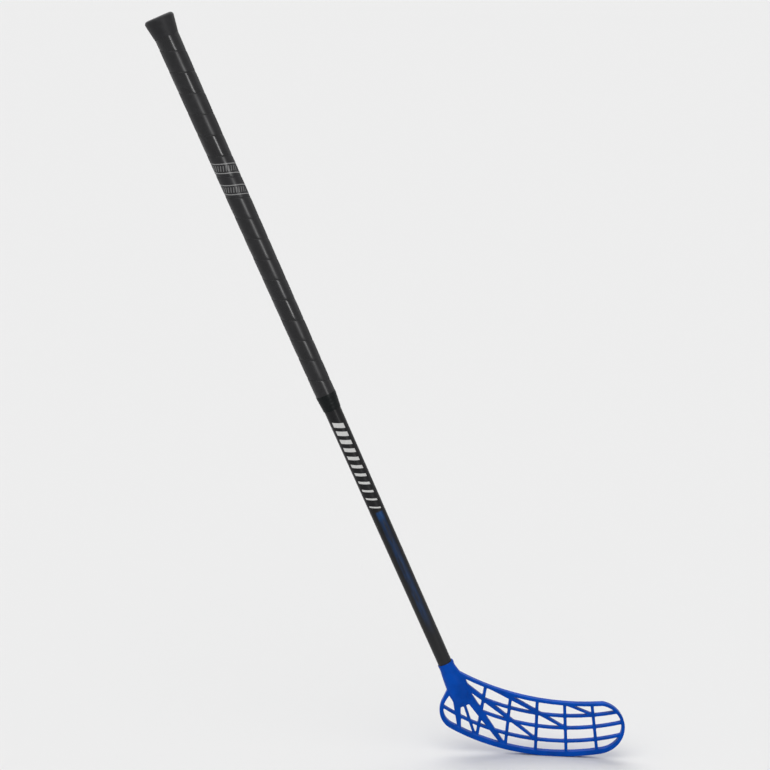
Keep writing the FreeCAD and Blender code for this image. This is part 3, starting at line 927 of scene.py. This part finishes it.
@dataclass(frozen=True)
class Shaft:
    """Tapered tube.

    Attributes:
        line: Axis of the shaft.
        top_diameter: Diameter at the butt end.
        tip_diameter: Diameter at the tip.
        start: Station of its upper end.
        length: Length of the tube.
        wall: Thickness of the wall.
        rounding: Rounding of its rims.
        facets: Number of faces round it, and round the knob and the grip.
        print_station: Station in the middle of the print.
    """

    line: ShaftLine
    top_diameter: float = 0.0283
    tip_diameter: float = 0.0190
    start: float = 0.003
    length: float = 1.0
    wall: float = 0.0016
    rounding: float = 0.0003
    facets: int = 96
    print_station: float = 0.65

    def radius(self, station: float) -> float:
        """Outer radius at a station."""
        share = (station - self.start) / self.length
        return (self.top_diameter + (self.tip_diameter - self.top_diameter) * share) / 2

    def beside(self, station: float, clearance: float) -> tuple[float, float]:
        """Corner of a profile that stands clear of the tube at a station."""
        return self.radius(station) + clearance, self.line.height(station)

    def build(self) -> bpy.types.Object:
        """Build and dress the tube."""
        top, tip = self.line.height(self.start), self.line.height(self.start + self.length)
        upper, lower = self.top_diameter / 2, self.tip_diameter / 2
        tube = Workpiece()
        profile = [(upper - self.wall, top), (upper, top), (lower, tip), (lower - self.wall, tip)]
        tube.revolve(profile, self.facets, longest=10 * MILLIMETRE)
        tube.round_edges(self.rounding)
        finish = LacquerFinish(self.line, self.radius(self.print_station))
        return tube.lay("shaft", self.line.laid(), finish.material(), Solid.SHAFT)


@dataclass(frozen=True)
class EndKnob:
    """Flared knob with a spigot in the butt end of the shaft.

    Attributes:
        shaft: The tube that it plugs.
        length: Station of its lower edge.
        cap: Thickness of its end.
        diameter: Largest diameter.
        rim: Radius of the rounded rim.
        rim_steps: Number of faces across the rim.
        rounding: Rounding of its other edges.
        waist: Diameter at its lower edge.
        spigot_length: Length of the spigot inside the tube.
        spigot_wall: Thickness of the spigot.
        glue_gap: Clearance round the tube.
    """

    shaft: Shaft
    length: float = 0.027
    cap: float = 0.003
    diameter: float = 0.0402
    rim: float = 0.0045
    rim_steps: int = 10
    rounding: float = 0.0002
    waist: float = 0.0326
    spigot_length: float = 0.032
    spigot_wall: float = 0.002
    glue_gap: float = 0.0001

    def build(self) -> bpy.types.Object:
        """Build and dress the knob."""
        line = self.shaft.line
        rim = []
        for step in range(self.rim_steps + 1):
            angle = step / self.rim_steps * FULL_TURN / 4
            out = self.diameter / 2 - self.rim * (1 - math.sin(angle))
            rim.append((out, line.height(self.rim * (1 - math.cos(angle)))))
        seat = line.height(self.cap)
        spigot_end = self.cap + self.spigot_length
        spigot = self.shaft.radius(spigot_end) - self.shaft.wall - self.glue_gap
        profile = [
            (0.0, line.height(0.0)),
            *rim,
            (self.waist / 2, line.height(self.length)),
            self.shaft.beside(self.length, self.glue_gap),
            self.shaft.beside(self.cap, self.glue_gap),
            (spigot, seat),
            (spigot, line.height(spigot_end)),
            (spigot - self.spigot_wall, line.height(spigot_end)),
            (spigot - self.spigot_wall, seat),
            (0.0, seat),
        ]
        knob = Workpiece()
        knob.revolve(profile, self.shaft.facets, longest=3 * MILLIMETRE)
        knob.round_edges(self.rounding)
        return knob.lay("knob", line.laid(), KnobFinish().material(), Solid.KNOB)


@dataclass(frozen=True)
class GripRibbon:
    """Ribbon wound down the shaft, each loop lapping over the one above.

    Attributes:
        shaft: The tube that it covers.
        start: Station of its upper end.
        end: Station of its lower end.
        pitch: Distance between loops.
        first_seam: Station of the first seam at the front.
        lap: How far each loop reaches under the next.
        thickness: Height of the ribbon's back above the tube.
        edge: Height of its upper edge.
        lapped: Height of what lies under the next loop.
        glue: Height of its underside.
    """

    shaft: Shaft
    start: float = 0.0270
    end: float = 0.547
    pitch: float = 0.0297
    first_seam: float = 0.0464
    lap: float = 0.0028
    thickness: float = 0.0021
    edge: float = 0.00158
    lapped: float = 0.00085
    glue: float = 0.00012

    def section(self) -> Profile:
        """Section of one loop: heights above the tube, by distances down from its upper edge."""
        edge, back, lapped_end = self.edge, self.thickness, self.pitch + self.lap
        outer = [
            (edge + 0.04 * MILLIMETRE, 0.0),
            (edge + 0.28 * MILLIMETRE, 0.25 * MILLIMETRE),
            (back - 0.10 * MILLIMETRE, 0.8 * MILLIMETRE),
            (back - 0.04 * MILLIMETRE, 2 * MILLIMETRE),
            (back, 0.27 * self.pitch),
            (back - 0.02 * MILLIMETRE, 0.54 * self.pitch),
            (back - 0.10 * MILLIMETRE, 0.81 * self.pitch),
            (back - 0.24 * MILLIMETRE, 0.94 * self.pitch),
            (edge - 0.03 * MILLIMETRE, self.pitch),
            (self.lapped, lapped_end),
        ]
        inner = [
            (self.glue, lapped_end),
            (self.glue, self.lap + 0.4 * MILLIMETRE),
            (self.lapped + 0.1 * MILLIMETRE, self.lap + 0.1 * MILLIMETRE),
            (edge, 0.0),
        ]
        return outer + inner

    def build(self) -> bpy.types.Object:
        """Build and dress the ribbon."""
        line = self.shaft.line
        reference = self.shaft.radius(line.hold_point)
        first_edge = self.first_seam + self.pitch / 4 - 2 * self.pitch
        profile = [(reference + out, line.height(first_edge + down)) for out, down in self.section()]
        ribbon = Workpiece()
        turns = math.ceil((self.end - first_edge) / self.pitch) + 1
        ribbon.wind(profile, self.pitch, turns, self.shaft.facets)
        ribbon.trim(line.height(self.start), line.height(self.end))
        ribbon.close()
        ribbon.push(lambda place: self.shaft.radius(line.hold_point - place.z) - reference)
        finish = RibbonFinish(line, self.pitch, self.first_seam, reference + self.thickness)
        return ribbon.lay("grip", line.laid(), finish.material(), Solid.GRIP)


@dataclass(frozen=True)
class FinishingTape:
    """Tape wound over the lower end of the grip, stepping down to the shaft.

    Attributes:
        shaft: The tube that it is wound on.
        start: Station of the grip's lower end, which it binds.
        length: Length that it covers below the grip.
        lap: How far it reaches up over the grip.
        upper: Height of the tape above the tube at the grip's lower end.
        lower: Height of its lower edge above the tube.
        layers: Number of steps, one for each layer of tape.
        layer: Thickness of one layer.
        layer_shape: Corners of one layer, as shares of its length and of its fall.
        crease: Depth of its creases.
        crease_size: Size of one crease.
        glue_gap: Clearance round the tube.
        facets: Number of faces round it.
    """

    shaft: Shaft
    start: float = 0.5471
    length: float = 0.0202
    lap: float = 0.0030
    upper: float = 0.0022
    lower: float = 0.0005
    layers: int = 4
    layer: float = 0.00016
    layer_shape: Profile = ((0.04, 0.0), (0.5, 0.35), (0.96, 0.8))
    crease: float = 0.00010
    crease_size: float = 0.004
    glue_gap: float = 0.0001
    facets: int = 128

    def profile(self) -> Profile:
        """Profile of the tape, from under the grip's end over its lap and down its layers."""
        edge = self.start - self.lap
        corners = [
            self.shaft.beside(self.start, self.glue_gap),
            self.shaft.beside(self.start, self.upper),
            self.shaft.beside(edge, self.upper),
            self.shaft.beside(edge, self.upper + self.layer),
        ]
        for index in range(self.layers):
            for share, fall in self.layer_shape:
                station = self.start + (index + share) / self.layers * self.length
                slope = self.upper + (self.lower - self.upper) * (index + fall) / self.layers
                corners.append(self.shaft.beside(station, slope + self.layer * (1 - share)))
        return [*corners, self.shaft.beside(self.start + self.length, self.glue_gap)]

    def build(self) -> bpy.types.Object:
        """Build and dress the tape."""
        line = self.shaft.line
        tape = Workpiece()
        tape.revolve(self.profile(), self.facets, longest=0.8 * MILLIMETRE)
        tape.swell(self.crease, self.crease_size)
        material = TapeFinish(line).material()
        return tape.lay("finishing_tape_wrap", line.laid(), material, Solid.TAPE)


@dataclass(frozen=True)
class Blade:
    """Openwork blade, one moulding with rounded edges.

    Attributes:
        floor: Height of the floor under the sole.
        grid: Size of the cells that the moulding is rebuilt from.
        smoothing: Number of passes that round its edges.
        pull: Share of the way to its neighbours' middle that a pass moves a corner.
        keep: Share of the faces that stay after thinning.
    """

    floor: float
    grid: float = 0.0005
    smoothing: int = 22
    pull: float = 0.5
    keep: float = 0.36

    def build(self) -> bpy.types.Object:
        """Build and dress the blade from its solid."""
        mesh = bmesh.new()
        mesh.from_mesh(frame["nodes"][Solid.BLADE.value].data)
        bmesh.ops.remove_doubles(mesh, verts=mesh.verts, dist=MERGE_DISTANCE)
        sharp = bpy.data.meshes.new("blade_sharp")
        mesh.to_mesh(sharp)
        mesh.free()
        draft = put("blade_draft", sharp)
        rebuilt = draft.modifiers.new("rebuilt", "REMESH")
        rebuilt.mode = "VOXEL"
        rebuilt.voxel_size = self.grid
        rounded = draft.modifiers.new("rounded", "SMOOTH")
        rounded.factor = self.pull
        rounded.iterations = self.smoothing
        thinned = draft.modifiers.new("thinned", "DECIMATE")
        thinned.ratio = self.keep
        finished = draft.evaluated_get(bpy.context.evaluated_depsgraph_get())
        moulded = bpy.data.meshes.new_from_object(finished)
        bpy.data.objects.remove(draft)
        bpy.data.meshes.remove(sharp)
        material = BladeFinish(self.floor).material()
        return show("blade_moulding", moulded, material, Solid.BLADE)


@dataclass(frozen=True)
class BladeScrews:
    """Screws at the back of the hosel, which keep the shape of their solids."""

    def build(self) -> None:
        """Dress the screws."""
        material = ScrewFinish().material()
        for solid in (Solid.UPPER_SCREW, Solid.LOWER_SCREW):
            data = frame["nodes"][solid.value].data
            data.materials.clear()
            data.materials.append(material)
            LOG.info("%s: dressed", solid.value)


@dataclass(frozen=True)
class Studio:
    """Pale floor, soft light and the camera.

    Attributes:
        line: Axis of the shaft, which the strip lamp lies along.
        floor: Height of the floor.
        floor_reach: Radius of the floor.
        floor_sides: Number of its sides.
        backdrop: Brightness of the backdrop as it is seen.
        fill: Brightness of the backdrop as a light.
        sky: Place and strength of each broad lamp overhead, from behind and from the front.
        sky_width: Angle that a broad lamp covers.
        strip_power: Power of the strip lamp.
        strip_size: Width and length of the strip lamp.
        strip_station: Station that the strip lamp stands beside.
        strip_side: Angle from the camera to the strip lamp, round the shaft.
        distance: Distance of the camera and of the strip lamp.
        elevation: Angle of the camera above the horizon.
        aim: Point that the camera looks at.
        lens: Focal length, in millimetres.
    """

    line: ShaftLine
    floor: float
    floor_reach: float = 40.0
    floor_sides: int = 64
    backdrop: float = 0.85
    fill: float = 0.46
    sky: tuple[tuple[Place, float], ...] = (
        ((-0.6, 1.7, 3.0), 1.2),
        ((-0.6, -1.6, 3.0), 1.1),
    )
    sky_width: float = math.radians(50)
    strip_power: float = 30.0
    strip_size: tuple[float, float] = (0.45, 1.25)
    strip_station: float = 0.64
    strip_side: float = math.radians(25)
    distance: float = 3.0
    elevation: float = math.radians(13)
    aim: Place = (0.1801, 0.0, -0.2228)
    lens: float = 104.5

    @property
    def back(self) -> Vector:
        """Direction from the object to the camera."""
        return Vector((0.0, -math.cos(self.elevation), math.sin(self.elevation)))

    def build(self) -> None:
        """Build the floor, lamps, backdrop and camera."""
        self.lay_floor()
        self.light_backdrop()
        self.hang_sky()
        self.hang_strip()
        self.place_camera()

    def lay_floor(self) -> None:
        """Lay the pale floor."""
        mesh = bmesh.new()
        sides, reach = self.floor_sides, self.floor_reach
        bmesh.ops.create_circle(mesh, cap_ends=True, segments=sides, radius=reach)
        bmesh.ops.translate(mesh, vec=(0.0, 0.0, self.floor), verts=mesh.verts)
        data = bpy.data.meshes.new("floor")
        mesh.to_mesh(data)
        mesh.free()
        data.materials.append(FloorFinish().material())
        floor = put("floor", data)

    def light_backdrop(self) -> None:
        """Make the backdrop pale to the eye and to reflections, and softer as a light."""
        world = bpy.data.worlds.new("backdrop")
        bpy.context.scene.world = world
        graph = NodeGraph(world)
        path = graph.node("ShaderNodeLightPath").outputs
        rays = ("Is Camera Ray", "Is Glossy Ray", "Is Transmission Ray")
        seen, mirrored, through = (Value(graph, path[ray]) for ray in rays)
        shown = seen.larger(mirrored).larger(through)
        light, sight = (
            graph.node("ShaderNodeBackground", inputs={"Color": WHITE, "Strength": strength}).outputs[0]
            for strength in (self.fill, self.backdrop)
        )
        mixed = graph.node("ShaderNodeMixShader", inputs={0: shown, 1: light, 2: sight})
        graph.node("ShaderNodeOutputWorld", inputs={"Surface": mixed.outputs[0]})

    def hang_sky(self) -> None:
        """Hang the broad lamps overhead, which shine at the hold point."""
        for place, strength in self.sky:
            light = bpy.data.lights.new("sky", "SUN")
            light.energy = strength
            light.angle = self.sky_width
            lamp = put("sky", light)
            lamp.location = place
            lamp.rotation_euler = (-Vector(place)).to_track_quat("-Z", "Y").to_euler()

    def hang_strip(self) -> None:
        """Hang the strip lamp beside the camera, for the long highlight on the shaft."""
        light = bpy.data.lights.new("strip", "AREA")
        light.shape = "RECTANGLE"
        light.size, light.size_y = self.strip_size
        light.energy = self.strip_power
        down = -self.line.direction
        facing = (self.back - down * self.back.dot(down)).normalized()
        beside = down.cross(facing)
        beside = beside if beside.x > 0 else -beside
        outward = facing * math.cos(self.strip_side) + beside * math.sin(self.strip_side)
        middle = self.line.point(self.strip_station)
        turn = Matrix((outward.cross(down), -down, outward)).transposed()
        lamp = put("strip", light)
        lamp.visible_camera = False
        lamp.visible_diffuse = False
        lamp.matrix_world = Matrix.Translation(middle + outward * self.distance) @ turn.to_4x4()

    def place_camera(self) -> None:
        """Place the camera."""
        data = bpy.data.cameras.new("camera")
        data.lens = self.lens
        camera = put("camera", data)
        camera.location = Vector(self.aim) + self.back * self.distance
        camera.rotation_euler = (FULL_TURN / 4 - self.elevation, 0.0, 0.0)
        bpy.context.scene.camera = camera


def main() -> None:
    """Build and dress the stick, and set the stage."""
    logging.basicConfig(level=logging.INFO)
    bpy.context.scene.view_settings.view_transform = "Standard"
    line = ShaftLine.from_record(frame["record"])
    floor = CAD_BOX[0].z
    shaft = Shaft(line)
    wound = (GripRibbon(shaft), FinishingTape(shaft))
    for part in (shaft, EndKnob(shaft), *wound, Blade(floor), BladeScrews()):
        part.build()
    Studio(line, floor).build()


if __name__ == "__main__":
    main()
